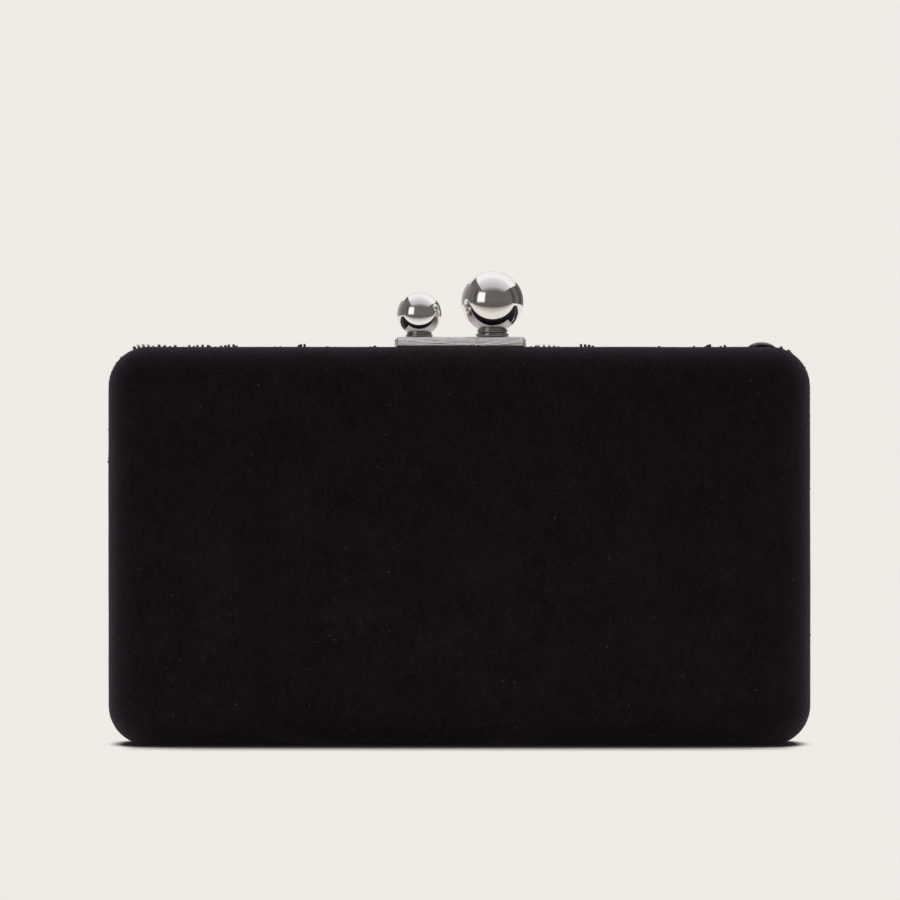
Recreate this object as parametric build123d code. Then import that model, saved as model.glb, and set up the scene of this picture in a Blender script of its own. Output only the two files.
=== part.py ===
"""Hard-shell box clutch with a twin-ball pinch clasp, in millimetres.

Row frame: X along the case, Y through its depth, Z up. The plain back half fills -Y and the
beaded front half +Y. The halves meet at the plane Y = 0 and hinge along the bottom.
The origin is the middle of the footprint.
"""

import math
import os

from build123d import *

# Case -------------------------------------------------------------------------------------
CASE_LENGTH = 185.0
CASE_HEIGHT = 105.0
BACK_DEPTH = 17.8  # parting plane to the crown of the plain back
FRONT_DEPTH = 16.4  # parting plane to the crown of the front, under its beading
CORNER_RADIUS = 10.5
SHOULDER_RADIUS = 9.0
CROWN_RADIUS = 3750.0  # both broad faces are caps of a very large sphere
MID_HEIGHT = CASE_HEIGHT / 2

# Layers of each half, as (outer, inner) distances in from the outer surface -----------------
COVER = (0.0, 0.9)
PADDING = (0.95, 1.75)
SHELL = (1.8, 3.6)
LINING_CARD = (3.65, 4.1)
LINING = (4.12, 4.4)
RIM = 1.4  # the layers stop this far from the parting plane, against the frame

# Metal rim frame of each half ---------------------------------------------------------------
FRAME_OUTER = 0.8
FRAME_INNER = 5.3
PARTING_GAP = 0.15
WEB_BACK = 1.35
FLANGE_OUTER = 4.45
FLANGE_DEPTH = 5.5

# Hinge along the bottom ---------------------------------------------------------------------
HINGE_Z = 1.75
BARREL_RADIUS = 1.6
PIN_RADIUS = 0.75
PIN_CLEARANCE = 0.05
HINGE_LENGTH = 150.0
KNUCKLES = 9
KNUCKLE_GAP = 0.3
PIN_HEAD_RADIUS = 1.3
PIN_HEAD_LENGTH = 0.6
SLOT_HALF_WIDTH = 1.95  # room for the barrel between the two halves
SLOT_TOP = 3.65
BRIDGE_TOP = 4.6
END_RELIEF_TOP = 2.5  # keeps the rims clear of each other beyond the hinge's ends

# Clasp: an inverted tray on the back half's top edge, carrying both balls --------------------
CLASP_X = 0.3
CLASP_Y = -4.6
CAP_LENGTH = 33.6
CAP_WIDTH = 9.0
CAP_TOP = CASE_HEIGHT + 2.6
CAP_WALL = 0.9
CAP_BOTTOM = CASE_HEIGHT + 0.1
CAP_CORNER = 0.5  # plan corners
CAP_TOP_ROUND = 0.45
CAP_LOWER_ROUND = 0.4
BAR_EDGE = 0.3
CAP_CEILING = CAP_TOP - CAP_WALL
BASE_BOTTOM = CASE_HEIGHT + 0.02
BASE_TOP = BASE_BOTTOM + 0.5
BASE_HALF_WIDTH = 3.5

# Balls: x of the axis, height of the centre over the cap, radius -------------------------------
LARGE_X, LARGE_RISE, LARGE_RADIUS = 8.7, 9.35, 8.25
SMALL_X, SMALL_RISE, SMALL_RADIUS = -10.6, 6.1, 5.9
LARGE_STUD_RADIUS = 1.25
SMALL_STUD_RADIUS = 0.9
LARGE_FOOT, LARGE_WAIST = 4.35, 4.0
SMALL_FOOT, SMALL_WAIST = 3.6, 3.3
SEAT_GAP = 0.03
STUD_HEAD_RADIUS = 2.0
STUD_HEAD_LENGTH = 0.8
PRESS_GAP = 0.02

# Latch slider under the cap; y is measured from CLASP_Y ---------------------------------------------
PINCH_TRAVEL = 2.5
SLIDER_BOTTOM = CASE_HEIGHT + 0.62
SLIDER_TOP = SLIDER_BOTTOM + 0.8
SLIDER_LEFT, SLIDER_RIGHT, SLIDER_HALF_WIDTH = -12.3, 4.0, 1.0
HOOK_ARM_LEFT = 3.0
HOOK_TIP_X = 1.1
HOOK_INNER_Y, HOOK_TIP_Y, HOOK_OUTER_Y = 2.55, 2.7, 3.5
TAB_LEFT, TAB_RIGHT, TAB_NEAR_Y = -9.0, -8.0, -3.2
COLLAR_LIFT = 0.08  # the moving collar rides this far above the cap

# Spring between the slider's tab and the post on the base plate; y is measured from CLASP_Y ----------
SPRING_STRIP = 0.18
SPRING_BARS = 12
SPRING_NEAR_Y, SPRING_FAR_Y = -3.1, -1.3
POST_LEFT, POST_WIDTH = 4.05, 1.0
CONTACT_GAP = 0.02

# Strike bar on the front half, with the toothed tongue that the hook holds ---------------------------
STRIKE_LENGTH = 36.6
BAR_LENGTH = 34.8
STRIKE_NEAR_Y, STRIKE_FAR_Y = 0.3, 6.6
STRIKE_THICKNESS = 0.6
BAR_Y = (0.4, 3.3)
BAR_TOP = CAP_TOP - 0.3
TONGUE_X, TONGUE_TIP_Y = (-0.4, 0.8), -3.4
TOOTH_X, TOOTH_Y = (0.8, 2.4), (-3.4, -2.2)
TONGUE_Z = (CASE_HEIGHT + 0.7, CASE_HEIGHT + 1.4)
NOTCH_X = (-0.7, 2.7)

# Rivets ---------------------------------------------------------------------------------------------
RIVET_RADIUS = 0.8
RIVET_HEAD_RADIUS = 1.5
RIVET_HEAD_LENGTH = 0.6
RIVET_HEAD_TOP = CASE_HEIGHT - FRAME_INNER - 0.05
BOSS_RADIUS = 1.5
BASE_RIVETS = [(CLASP_X - 14.3, -3.4), (CLASP_X + 14.3, -3.4)]
STRIKE_RIVETS = [(CLASP_X - 13.0, 4.4), (CLASP_X + 13.0, 4.4)]

# Soft parts inside ------------------------------------------------------------------------------------
GUSSET_X = CASE_LENGTH / 2 - FRAME_INNER - 0.05  # sewn to the rim flanges
GUSSET_HALF_GAP = 3.2
GUSSET_THICKNESS = 0.5
GUSSET_LOW_Z, GUSSET_LOW_FOLD = 11.0, 7.0
GUSSET_HIGH_Z, GUSSET_HIGH_FOLD = 50.0, 26.8
POCKET_LENGTH, POCKET_LOW_Z, POCKET_HIGH_Z = 116.0, 8.0, 66.0
POCKET_BACK_Y, POCKET_FRONT_Y = -12.3, -11.8
POCKET_SEAM = 0.8  # width of the seams that join the panel to the lining
BINDING_HEIGHT, BINDING_BULGE = 4.0, 0.3

# Beading on the front: stems of beads that run down and in from the top corners -------------------------
BEAD_RADIUS = 0.75
BEAD_GAP = 0.03
BEADS_PER_STEM = 14
STEM_START = (78.0, 93.0)
STEMS = [(62.0, 9.0, 2.0), (46.0, 40.0, 1.4), (7.0, 70.0, 0.8)]  # run, drop, power


def span_box(x, y, z):
    """A box from three (low, high) pairs."""
    size = [high - low for low, high in (x, y, z)]
    middle = [(low + high) / 2 for low, high in (x, y, z)]
    return Pos(*middle) * Box(*size)


def post(x, y, low_z, high_z, radius):
    """An upright cylinder."""
    return Pos(x, y, (low_z + high_z) / 2) * Cylinder(radius, high_z - low_z)


def outline(offset):
    """The case's rounded rectangle, drawn in by offset, facing -Y at the parting plane."""
    face = Plane(origin=(0, 0, MID_HEIGHT), x_dir=(1, 0, 0), z_dir=(0, -1, 0))
    return face * RectangleRounded(
        CASE_LENGTH - 2 * offset, CASE_HEIGHT - 2 * offset, CORNER_RADIUS - offset
    )


def crowned_block(offset, depth):
    """One half as a full block on the -Y side, with a crowned face and a rounded shoulder."""
    crown_centre_y = CROWN_RADIUS - depth
    block = extrude(outline(offset), amount=depth + 2)
    block &= Pos(0, crown_centre_y, MID_HEIGHT) * Sphere(CROWN_RADIUS - offset)
    shoulder = block.edges().filter_by(lambda e: e.center().Y < -depth + offset + 3)
    return fillet(shoulder, SHOULDER_RADIUS - offset)


def hinge_relief():
    """The room that the barrel and the turning rims need along the bottom."""
    long_slot = span_box(
        (-CASE_LENGTH, CASE_LENGTH), (-SLOT_HALF_WIDTH, SLOT_HALF_WIDTH), (-1, END_RELIEF_TOP)
    )
    half = HINGE_LENGTH / 2 + PIN_HEAD_LENGTH + KNUCKLE_GAP
    barrel_slot = span_box((-half, half), (-SLOT_HALF_WIDTH, SLOT_HALF_WIDTH), (-1, SLOT_TOP))
    return long_slot + barrel_slot


def rivet_holes(places, radius):
    return [post(x, y, CASE_HEIGHT - 10, CASE_HEIGHT + 1, radius) for x, y in places]


def tray(layer, depth, front):
    """One layer of a half: cover, padding, shell or lining."""
    outer, inner = layer
    shape = crowned_block(outer, depth) - crowned_block(inner, depth)
    shape -= span_box((-CASE_LENGTH, CASE_LENGTH), (-RIM, 1), (-1, CASE_HEIGHT + 1))
    if front:
        shape = mirror(shape, about=Plane.XZ)
    shape -= hinge_relief()
    for hole in rivet_holes(STRIKE_RIVETS if front else BASE_RIVETS, RIVET_RADIUS + PRESS_GAP):
        shape -= hole
    return shape


def knuckle_spans():
    """(low x, high x) of every knuckle; even ones belong to the back frame."""
    pitch = HINGE_LENGTH / KNUCKLES
    starts = [-HINGE_LENGTH / 2 + i * pitch for i in range(KNUCKLES)]
    return [(s + KNUCKLE_GAP / 2, s + pitch - KNUCKLE_GAP / 2) for s in starts]


def along_hinge(low_x, high_x, radius):
    """A cylinder on the hinge axis."""
    return Pos((low_x + high_x) / 2, 0, HINGE_Z) * Rot(0, 90, 0) * Cylinder(radius, high_x - low_x)


def rim_frame(front):
    """A half's metal rim: web, inner flange and hinge knuckles in one piece."""
    web = extrude(outline(FRAME_OUTER) - outline(FRAME_INNER), amount=WEB_BACK)
    flange = extrude(outline(FLANGE_OUTER) - outline(FRAME_INNER), amount=FLANGE_DEPTH)
    parting = span_box((-CASE_LENGTH, CASE_LENGTH), (-PARTING_GAP, 1), (-1, CASE_HEIGHT + 1))
    ring = web + flange - parting
    if front:
        ring = mirror(ring, about=Plane.XZ)
    ring -= hinge_relief()
    bridge_y = (PARTING_GAP, WEB_BACK) if front else (-WEB_BACK, -PARTING_GAP)
    for low_x, high_x in knuckle_spans()[1 if front else 0 :: 2]:
        ring += along_hinge(low_x, high_x, BARREL_RADIUS)
        ring += span_box((low_x, high_x), bridge_y, (HINGE_Z, BRIDGE_TOP))
    ring -= along_hinge(-HINGE_LENGTH, HINGE_LENGTH, PIN_RADIUS + PIN_CLEARANCE)
    for hole in rivet_holes(STRIKE_RIVETS if front else BASE_RIVETS, RIVET_RADIUS + PRESS_GAP):
        ring -= hole
    return ring


def hinge_pin():
    end = HINGE_LENGTH / 2
    pin = along_hinge(-end, end, PIN_RADIUS)
    pin += along_hinge(end, end + PIN_HEAD_LENGTH, PIN_HEAD_RADIUS)
    return pin + along_hinge(-end - PIN_HEAD_LENGTH, -end, PIN_HEAD_RADIUS)


def clasp_base_plate():
    """Thin plate on top of the back half, with the post that the spring pushes against."""
    half = CAP_LENGTH / 2 - CAP_WALL - 0.1
    y = (CLASP_Y - BASE_HALF_WIDTH, CLASP_Y + BASE_HALF_WIDTH)
    plate = span_box((CLASP_X - half, CLASP_X + half), y, (BASE_BOTTOM, BASE_TOP))
    plate += span_box(
        (POST_LEFT, POST_LEFT + POST_WIDTH), (y[0], CLASP_Y + SPRING_FAR_Y), (BASE_TOP, SLIDER_TOP)
    )
    for hole in rivet_holes(BASE_RIVETS, RIVET_RADIUS + PRESS_GAP):
        plate -= hole
    return plate


def clasp_cap():
    """The bright bar: an inverted tray with a slot for the moving ball and a notch for the tongue."""
    cap_x = (CLASP_X - CAP_LENGTH / 2, CLASP_X + CAP_LENGTH / 2)
    cap_y = (CLASP_Y - CAP_WIDTH / 2, CLASP_Y + CAP_WIDTH / 2)
    cap = span_box(cap_x, cap_y, (CAP_BOTTOM, CAP_TOP))
    cap = fillet(cap.edges().filter_by(Axis.Z), CAP_CORNER)
    cap = fillet(cap.faces().sort_by(Axis.Z)[-1].edges(), CAP_TOP_ROUND)
    cap = fillet(cap.faces().sort_by(Axis.Z)[0].edges(), CAP_LOWER_ROUND)
    cap -= span_box(
        (cap_x[0] + CAP_WALL, cap_x[1] - CAP_WALL),
        (cap_y[0] + CAP_WALL, cap_y[1] - CAP_WALL),
        (CAP_BOTTOM - 1, CAP_CEILING),
    )
    cap -= span_box(NOTCH_X, (cap_y[1] - CAP_WALL - 0.1, cap_y[1] + 1), (CAP_BOTTOM - 1, CAP_CEILING))
    for x, y in BASE_RIVETS:
        cap += post(x, y, BASE_TOP + CONTACT_GAP, CAP_CEILING, BOSS_RADIUS)
        cap -= post(x, y, BASE_TOP - 1, CAP_CEILING - 0.3, RIVET_RADIUS + PRESS_GAP)
    slot_radius = SMALL_STUD_RADIUS + 0.1
    slot = SlotOverall(PINCH_TRAVEL + 2 * slot_radius, 2 * slot_radius)
    slot = Pos(SMALL_X + PINCH_TRAVEL / 2, CLASP_Y, CAP_CEILING - 0.5) * slot
    cap -= extrude(slot, amount=CAP_WALL + 1)
    return cap - post(
        LARGE_X, CLASP_Y, CAP_CEILING - 1, CAP_TOP + 1, LARGE_STUD_RADIUS + PRESS_GAP
    )


def rivets(places, top):
    """Shank and formed head of each rivet, as separate solids."""
    made = []
    for x, y in places:
        shank = post(x, y, RIVET_HEAD_TOP, top, RIVET_RADIUS)
        head = post(x, y, RIVET_HEAD_TOP - RIVET_HEAD_LENGTH, RIVET_HEAD_TOP, RIVET_HEAD_RADIUS)
        made.append(shank + head)
    return made


def ball(x, rise, radius, stud_radius):
    """A polished ball with a blind hole for its stud."""
    centre_z = CAP_TOP + rise
    hole = post(x, CLASP_Y, centre_z - 2 * radius, centre_z, stud_radius + PRESS_GAP)
    return Pos(x, CLASP_Y, centre_z) * Sphere(radius) - hole


def collar(x, rise, radius, bottom, foot, waist, stud_radius):
    """The waisted ring that a ball sits in."""
    centre_z = CAP_TOP + rise
    bore = stud_radius + PRESS_GAP
    seat = radius + SEAT_GAP
    neck = (foot + waist) / 2
    top = centre_z - math.sqrt(seat**2 - neck**2)
    side = ThreePointArc((foot, bottom), (waist, (bottom + top) / 2), (neck, top))
    rest = Polyline((neck, top), (bore, top), (bore, bottom), (foot, bottom))
    ring = revolve(Plane.XZ * make_face([side, rest]), axis=Axis.Z)
    return Pos(x, CLASP_Y, 0) * ring - Pos(x, CLASP_Y, centre_z) * Sphere(seat)


def large_ball_stud():
    top = CAP_TOP + LARGE_RISE - 0.2
    head_bottom = CAP_CEILING - STUD_HEAD_LENGTH
    head = post(LARGE_X, CLASP_Y, head_bottom, CAP_CEILING - PRESS_GAP, STUD_HEAD_RADIUS)
    return head + post(LARGE_X, CLASP_Y, head_bottom, top, LARGE_STUD_RADIUS)


def small_ball_stud():
    return post(SMALL_X, CLASP_Y, SLIDER_BOTTOM, CAP_TOP + SMALL_RISE - 0.2, SMALL_STUD_RADIUS)


def latch_slider():
    """Bar, spring tab and the hook that holds the tongue's tooth; its slanted tip lets it snap shut."""
    profile = Polyline(
        (SLIDER_RIGHT, -SLIDER_HALF_WIDTH),
        (SLIDER_RIGHT, HOOK_OUTER_Y),
        (HOOK_ARM_LEFT - 0.4, HOOK_OUTER_Y),
        (HOOK_TIP_X, HOOK_TIP_Y),
        (HOOK_TIP_X, HOOK_INNER_Y),
        (HOOK_ARM_LEFT, HOOK_INNER_Y),
        (HOOK_ARM_LEFT, SLIDER_HALF_WIDTH),
        (SLIDER_LEFT, SLIDER_HALF_WIDTH),
        (SLIDER_LEFT, -SLIDER_HALF_WIDTH),
        (TAB_LEFT, -SLIDER_HALF_WIDTH),
        (TAB_LEFT, TAB_NEAR_Y),
        (TAB_RIGHT, TAB_NEAR_Y),
        (TAB_RIGHT, -SLIDER_HALF_WIDTH),
        close=True,
    )
    bar = extrude(
        Pos(0, CLASP_Y, SLIDER_BOTTOM) * make_face(profile), amount=SLIDER_TOP - SLIDER_BOTTOM
    )
    hole = post(
        SMALL_X, CLASP_Y, SLIDER_BOTTOM - 1, SLIDER_TOP + 1, SMALL_STUD_RADIUS + PRESS_GAP
    )
    return bar - hole


def latch_spring():
    """A flat zigzag spring: upright bars joined at alternate ends."""
    low_x, high_x = TAB_RIGHT + CONTACT_GAP, POST_LEFT - CONTACT_GAP
    near_y, far_y = CLASP_Y + SPRING_NEAR_Y, CLASP_Y + SPRING_FAR_Y
    pitch = (high_x - low_x - SPRING_STRIP) / (SPRING_BARS - 1)
    z = (SLIDER_BOTTOM, SLIDER_TOP)
    spring = None
    for i in range(SPRING_BARS):
        x = low_x + i * pitch
        bar = span_box((x, x + SPRING_STRIP), (near_y, far_y), z)
        spring = bar if spring is None else spring + bar
        if i < SPRING_BARS - 1:
            y = near_y if i % 2 else far_y - SPRING_STRIP
            spring += span_box((x, x + pitch + SPRING_STRIP), (y, y + SPRING_STRIP), z)
    return spring


def strike_bar():
    """Bar riveted to the front half, with the toothed tongue that reaches into the cap."""
    x = (CLASP_X - STRIKE_LENGTH / 2, CLASP_X + STRIKE_LENGTH / 2)
    bottom = CASE_HEIGHT - STRIKE_THICKNESS
    plate = span_box(x, (STRIKE_NEAR_Y, STRIKE_FAR_Y), (bottom, CASE_HEIGHT))
    plate = fillet(plate.edges().filter_by(Axis.Z).sort_by(Axis.Y)[-2:], 1.2)
    bar_x = (CLASP_X - BAR_LENGTH / 2, CLASP_X + BAR_LENGTH / 2)
    bar = span_box(bar_x, BAR_Y, (bottom, BAR_TOP))
    bar = fillet(bar.faces().sort_by(Axis.Z)[-1].edges(), BAR_EDGE)
    made = plate + bar + span_box(TONGUE_X, (TONGUE_TIP_Y, BAR_Y[0] + 0.5), TONGUE_Z)
    made += span_box(TOOTH_X, TOOTH_Y, TONGUE_Z)
    for hole in rivet_holes(STRIKE_RIVETS, RIVET_RADIUS + PRESS_GAP):
        made -= hole
    return made


def front_cover():
    """The front's cover, with a recess for the strike bar's foot."""
    gap = 0.05
    recess = span_box(
        (CLASP_X - STRIKE_LENGTH / 2 - gap, CLASP_X + STRIKE_LENGTH / 2 + gap),
        (0, STRIKE_FAR_Y + gap),
        (CASE_HEIGHT - STRIKE_THICKNESS - gap, CASE_HEIGHT + 1),
    )
    return tray(COVER, FRONT_DEPTH, True) - recess


def gusset(side):
    """A folded fabric web inside one end of the case; side is -1 for left and 1 for right."""
    sections = []
    for z, fold in ((GUSSET_LOW_Z, GUSSET_LOW_FOLD), (GUSSET_HIGH_Z, GUSSET_HIGH_FOLD)):
        inner_fold = fold * (1 - GUSSET_THICKNESS / GUSSET_HALF_GAP)
        edge = GUSSET_HALF_GAP - GUSSET_THICKNESS
        vee = Polyline(
            (side * GUSSET_X, -GUSSET_HALF_GAP, z),
            (side * (GUSSET_X - fold), 0, z),
            (side * GUSSET_X, GUSSET_HALF_GAP, z),
            (side * GUSSET_X, edge, z),
            (side * (GUSSET_X - inner_fold), 0, z),
            (side * GUSSET_X, -edge, z),
            close=True,
        )
        sections.append(make_face(vee))
    return loft(sections, ruled=True)


def pocket():
    """Slip pocket panel with its seams on the lining, and the binding along its open top edge."""
    x = (-POCKET_LENGTH / 2, POCKET_LENGTH / 2)
    split = POCKET_HIGH_Z - BINDING_HEIGHT
    inside_lining = crowned_block(LINING[1] + CONTACT_GAP, BACK_DEPTH)
    panel = span_box(x, (-BACK_DEPTH, POCKET_FRONT_Y), (POCKET_LOW_Z, split)) & inside_lining
    panel -= span_box(
        (x[0] + POCKET_SEAM, x[1] - POCKET_SEAM),
        (-BACK_DEPTH, POCKET_BACK_Y),
        (POCKET_LOW_Z + POCKET_SEAM, POCKET_HIGH_Z),
    )
    binding = span_box(x, (POCKET_BACK_Y, POCKET_FRONT_Y + BINDING_BULGE), (split, POCKET_HIGH_Z))
    return panel, binding


def bead_spray(side):
    """Beads along three curved stems, each bead a separate solid resting on the front face."""
    beads = []
    for run, drop, power in STEMS:
        for i in range(BEADS_PER_STEM):
            t = (i + 0.5) / BEADS_PER_STEM
            x = side * (STEM_START[0] - run * t)
            z = STEM_START[1] - drop * t**power
            off_centre = math.hypot(x, z - MID_HEIGHT)
            face_y = FRONT_DEPTH - CROWN_RADIUS + math.sqrt(CROWN_RADIUS**2 - off_centre**2)
            beads.append(Pos(x, face_y + BEAD_GAP + BEAD_RADIUS, z) * Sphere(BEAD_RADIUS))
    return beads


def case_layers():
    """Cover, padding, shell, lining card and lining of both halves."""
    made = {"back_cover": tray(COVER, BACK_DEPTH, False), "front_cover": front_cover()}
    layers = {"padding": PADDING, "shell": SHELL, "lining_card": LINING_CARD, "lining": LINING}
    for name, layer in layers.items():
        made["back_" + name] = tray(layer, BACK_DEPTH, False)
        made["front_" + name] = tray(layer, FRONT_DEPTH, True)
    return made


def clasp_parts():
    large_base = CAP_TOP + PRESS_GAP
    small_base = CAP_TOP + COLLAR_LIFT
    return {
        "clasp_base_plate": clasp_base_plate(),
        "clasp_cap": clasp_cap(),
        "clasp_rivets": rivets(BASE_RIVETS, CAP_CEILING - 0.4),
        "large_ball": ball(LARGE_X, LARGE_RISE, LARGE_RADIUS, LARGE_STUD_RADIUS),
        "large_ball_collar": collar(
            LARGE_X, LARGE_RISE, LARGE_RADIUS, large_base, LARGE_FOOT, LARGE_WAIST, LARGE_STUD_RADIUS
        ),
        "large_ball_stud": large_ball_stud(),
        "small_ball": ball(SMALL_X, SMALL_RISE, SMALL_RADIUS, SMALL_STUD_RADIUS),
        "small_ball_collar": collar(
            SMALL_X, SMALL_RISE, SMALL_RADIUS, small_base, SMALL_FOOT, SMALL_WAIST, SMALL_STUD_RADIUS
        ),
        "small_ball_stud": small_ball_stud(),
        "latch_slider": latch_slider(),
        "latch_spring": latch_spring(),
        "strike_bar": strike_bar(),
        "strike_rivets": rivets(STRIKE_RIVETS, CASE_HEIGHT - PRESS_GAP),
    }


def soft_parts():
    panel, binding = pocket()
    return {
        "left_gusset": gusset(-1),
        "right_gusset": gusset(1),
        "pocket_panel": panel,
        "pocket_binding": binding,
        "left_bead_spray": bead_spray(-1),
        "right_bead_spray": bead_spray(1),
    }


def main():
    nodes = {
        **case_layers(),
        "back_frame": rim_frame(False),
        "front_frame": rim_frame(True),
        "hinge_pin": hinge_pin(),
        **clasp_parts(),
        **soft_parts(),
    }
    os.makedirs("parts", exist_ok=True)
    for name, shape in nodes.items():
        solids = shape if isinstance(shape, list) else [shape]
        node = Compound(children=solids) if len(solids) > 1 else solids[0]
        node.label = name
        export_step(node, f"parts/{name}.step")


main()
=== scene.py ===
"""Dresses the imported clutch: suede covers, satin inside, a polished clasp and a beaded front."""

import itertools
import math
import random

import bmesh
import bpy
from mathutils import Matrix, Vector, noise
from mathutils.bvhtree import BVHTree


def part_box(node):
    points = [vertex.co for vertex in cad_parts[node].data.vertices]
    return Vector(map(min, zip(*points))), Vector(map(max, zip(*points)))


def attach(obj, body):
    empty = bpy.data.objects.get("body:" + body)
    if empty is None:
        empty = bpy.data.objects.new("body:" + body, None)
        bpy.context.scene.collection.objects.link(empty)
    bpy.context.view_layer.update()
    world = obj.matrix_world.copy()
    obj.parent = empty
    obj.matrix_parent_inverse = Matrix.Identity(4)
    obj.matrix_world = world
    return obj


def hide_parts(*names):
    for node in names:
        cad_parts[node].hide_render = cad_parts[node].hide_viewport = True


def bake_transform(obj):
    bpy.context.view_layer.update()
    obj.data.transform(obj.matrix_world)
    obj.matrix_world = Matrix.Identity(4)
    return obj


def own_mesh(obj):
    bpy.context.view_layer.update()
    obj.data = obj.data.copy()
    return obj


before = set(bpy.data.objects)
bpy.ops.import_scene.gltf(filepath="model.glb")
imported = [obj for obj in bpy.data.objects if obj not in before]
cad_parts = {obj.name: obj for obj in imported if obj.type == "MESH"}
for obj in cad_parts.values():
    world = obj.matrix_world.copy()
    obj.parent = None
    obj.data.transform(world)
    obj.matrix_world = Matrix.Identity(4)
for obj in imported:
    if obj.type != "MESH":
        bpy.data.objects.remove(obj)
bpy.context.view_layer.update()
MM = 0.001


def cad_box(node):
    """Lowest and highest corner of a CAD node, in millimetres."""
    low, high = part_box(node)
    return low / MM, high / MM


# Sizes shared with the CAD model, in millimetres ------------
BACK_LOW, BACK_HIGH = cad_box("back_cover")
FRONT_LOW, FRONT_HIGH = cad_box("front_cover")
HALF_LENGTH = BACK_HIGH.x
HALF_HEIGHT = BACK_HIGH.z / 2
MID_HEIGHT = BACK_HIGH.z / 2
TOP = BACK_HIGH.z
BACK_DEPTH = -BACK_LOW.y
FRONT_DEPTH = FRONT_HIGH.y
HALVES = {-1: ("back", "back_half", BACK_DEPTH), 1: ("front", "front_half", FRONT_DEPTH)}
CORNER_RADIUS = 10.5
SHOULDER_RADIUS = 9.0
CROWN_RADIUS = 3750.0
LINING_OFFSET = 4.12  # from the case's outline to the lining
RIM = 1.42  # how far from the joint between the halves the covers start
CAP_EDGE = 0.45
CAP_WALL = 0.9
CAP_LEAN = 0.15
STRIKE_PLATE_X = (-18.0, 18.6)
STRIKE_PLATE_Y = 6.6
PLATE_PRESS = 0.75  # how far the front cover is pressed down under the strike bar's plate

# Covers and beads, in millimetres ---------------------------
CORNER_STEPS = 6  # points to each half corner, and below to each long and short side
LONG_STEPS = 96
SHORT_STEPS = 48
PILLOW_DROP = 0.55  # how much softer than the shell the padded cover falls away at its edges
PILLOW_REACH = 7.0
BEAD_CELL = 4.0  # the grid in which beads look for their neighbours
BEAD_FLOOR = 3.0  # no scattered bead or nap fibre is placed below this height
FULL_TURN = 6.28  # in radians, for random headings

# Studio, in metres ------------------------------------------
BACKGROUND = (0.871, 0.831, 0.783)
WALL_TONE = (0.152, 0.139, 0.131)
FLAP_START = 0.0012  # far enough out for that strip of floor to swing down as the case opens
LID_SWEEP = 0.13  # how far out the opened front half reaches


# Materials --------------------------------------------------
class Shader:
    """A material's node tree, with short calls for the nodes used here."""

    def __init__(self, name, **settings):
        self.material = bpy.data.materials.new(name)
        self.material.use_nodes = True
        self.nodes = self.material.node_tree.nodes
        self.links = self.material.node_tree.links
        self.surface = self.nodes["Principled BSDF"]
        self.place = self.nodes.new("ShaderNodeTexCoord").outputs["Object"]
        for key, value in settings.items():
            socket = self.surface.inputs[key.replace("_", " ").title().replace("Ior", "IOR")]
            socket.default_value = (*value, 1.0) if isinstance(value, tuple) else value

    def node(self, kind, inputs=None, **properties):
        made = self.nodes.new(kind)
        for key, value in properties.items():
            setattr(made, key, value)
        for key, value in (inputs or {}).items():
            if isinstance(value, bpy.types.NodeSocket):
                self.links.new(value, made.inputs[key])
            else:
                made.inputs[key].default_value = value
        return made

    def stretched(self, scale):
        return self.node("ShaderNodeMapping", {"Vector": self.place, "Scale": scale}).outputs[0]

    def noise(self, scale, detail=3.0, roughness=0.5, place=None):
        values = {"Scale": scale, "Detail": detail, "Roughness": roughness}
        return self.node("ShaderNodeTexNoise", {"Vector": place or self.place, **values}).outputs["Fac"]

    def wave(self, scale, axis, distortion=0.0):
        values = {"Vector": self.place, "Scale": scale, "Distortion": distortion}
        return self.node("ShaderNodeTexWave", values, bands_direction=axis).outputs["Fac"]

    def stops(self, factor, tones):
        """A colour ramp through (position, grey or colour) stops."""
        made = self.node("ShaderNodeValToRGB", {"Fac": factor})
        elements = made.color_ramp.elements
        while len(elements) < len(tones):
            elements.new(0.5)
        for element, (position, tone) in zip(elements, tones):
            element.position = position
            element.color = (*tone, 1.0) if isinstance(tone, tuple) else (tone, tone, tone, 1.0)
        return made.outputs["Color"]

    def ramp(self, factor, low, high, start=0.0, end=1.0):
        """A colour that runs from low to high as factor runs from start to end."""
        return self.stops(factor, [(start, low), (end, high)])

    def span(self, factor, low, high, start=0.0, end=1.0):
        """A number that runs from low to high as factor runs from start to end."""
        values = {"From Min": start, "From Max": end, "To Min": low, "To Max": high}
        return self.node("ShaderNodeMapRange", {"Value": factor, **values}).outputs["Result"]

    def math(self, operation, a, b):
        return self.node("ShaderNodeMath", {0: a, 1: b}, operation=operation).outputs[0]

    def mix(self, factor, a, b):
        a, b = (v if isinstance(v, bpy.types.NodeSocket) else (*v, 1.0) for v in (a, b))
        return self.node("ShaderNodeMix", {"Factor": factor, 6: a, 7: b}, data_type="RGBA").outputs[2]

    def bump(self, height, strength, distance):
        """Adds one layer of bump over those already there."""
        values = {"Height": height, "Strength": strength, "Distance": distance}
        normal = self.surface.inputs["Normal"]
        if normal.is_linked:
            values["Normal"] = normal.links[0].from_socket
        self.links.new(self.node("ShaderNodeBump", values).outputs["Normal"], normal)

    def colour(self, value):
        self.links.new(value, self.surface.inputs["Base Color"])

    def roughness(self, value):
        self.links.new(value, self.surface.inputs["Roughness"])


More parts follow.
